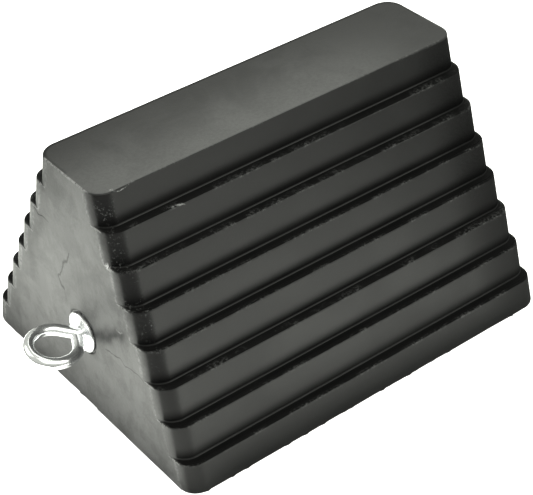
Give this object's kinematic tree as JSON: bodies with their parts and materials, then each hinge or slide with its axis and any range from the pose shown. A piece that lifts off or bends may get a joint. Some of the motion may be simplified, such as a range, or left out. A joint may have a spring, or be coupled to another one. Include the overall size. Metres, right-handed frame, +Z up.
{
  "type": "wheel chock",
  "caption": "Stepped pyramid wheel chock of moulded black rubber, with a bent wire eye bolt through its length for a rope or chain.",
  "frame": {"origin": "centre of the rubber block's base, on the ground", "axes": "+Z up, X along the length with the eye at the -X end, stepped tyre sides facing +Y and -Y"},
  "size_m": [0.2997, 0.2032, 0.1524],
  "materials": {
    "rubber": "satin moulded rubber, slightly cloudy, with pale scuffs on its edges",
    "zinc_wire": "bright zinc plate on drawn steel wire",
    "zinc_washers": "bright zinc plate on pressed steel",
    "zinc_nut": "zinc plate on steel",
    "nylon": "natural white nylon"
  },
  "bodies": {
    "chock": {"rubber_block": "rubber", "eye_washer": "zinc_washers", "nut_washer": "zinc_washers"},
    "eye": {"eye_bolt": "zinc_wire", "lock_nut": "zinc_nut", "nylon_insert": "nylon"}
  },
  "joints": [
    {"name": "eye_swivel", "type": "hinge", "parent": "chock", "child": "eye", "pos_m": [0, -0.0034, 0.0516], "axis": [1, 0, 0], "continuous": true}
  ]
}
